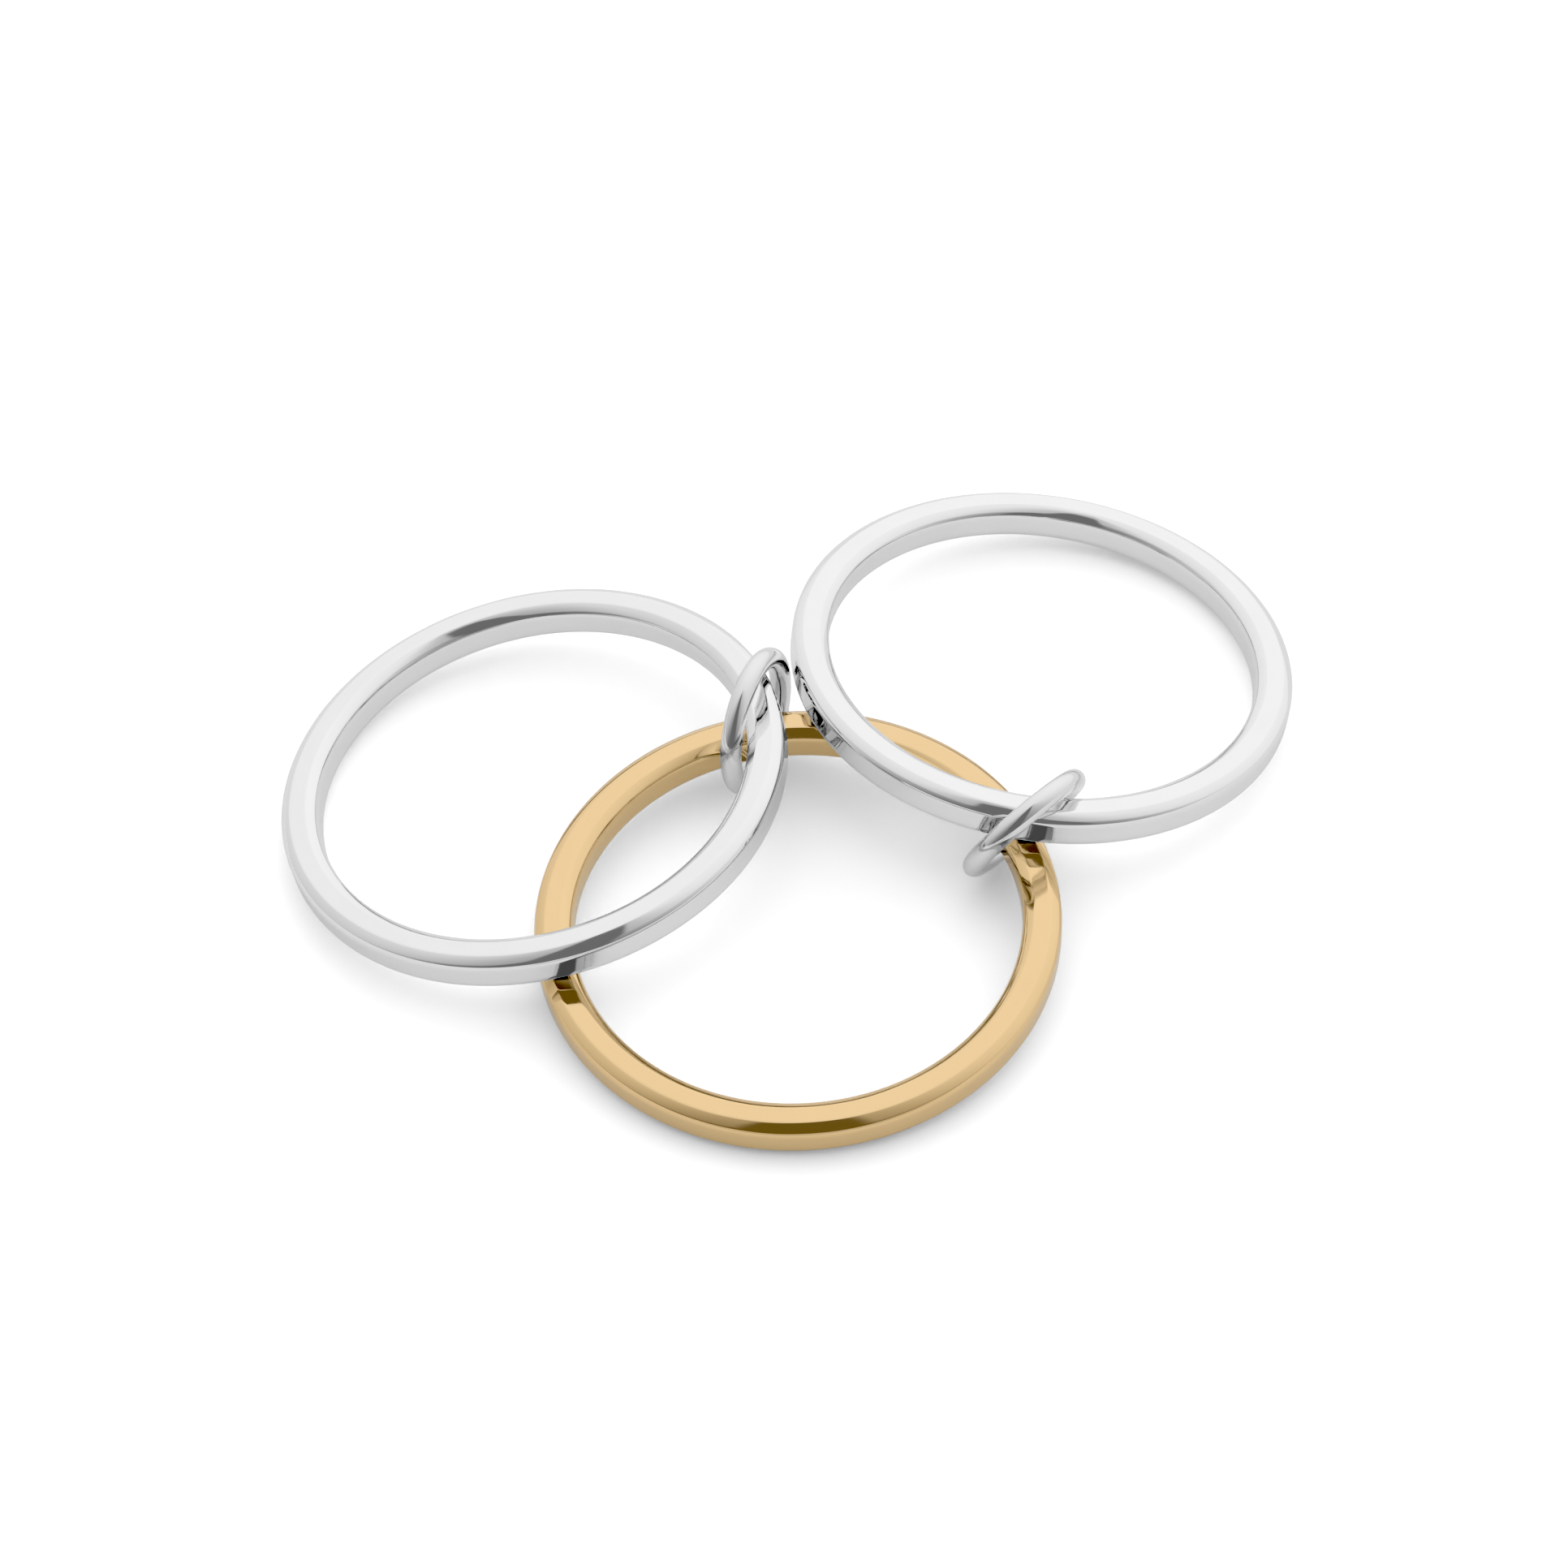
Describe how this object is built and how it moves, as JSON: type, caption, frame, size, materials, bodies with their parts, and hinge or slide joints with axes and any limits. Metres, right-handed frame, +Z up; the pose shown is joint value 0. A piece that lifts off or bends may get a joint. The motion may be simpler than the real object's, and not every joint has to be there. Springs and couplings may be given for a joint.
{
  "type": "interlocking ring",
  "caption": "Interlocking finger ring: a gold band and silver bands linked by small round connector rings, lying fanned out on a surface.",
  "frame": {"origin": "middle of the footprint, on the surface that the ring lies on", "axes": "+Z up from the surface, +X from the left silver band towards the right silver band, +Y away from the gold band's free side"},
  "size_m": [0.0406, 0.0326, 0.006],
  "materials": {
    "silver": "polished solid silver",
    "gold": "polished yellow gold"
  },
  "bodies": {
    "root": {"band_gold": "gold", "band_silver_left": "silver", "band_silver_right": "silver", "connector_left": "silver", "connector_right": "silver"}
  },
  "joints": []
}
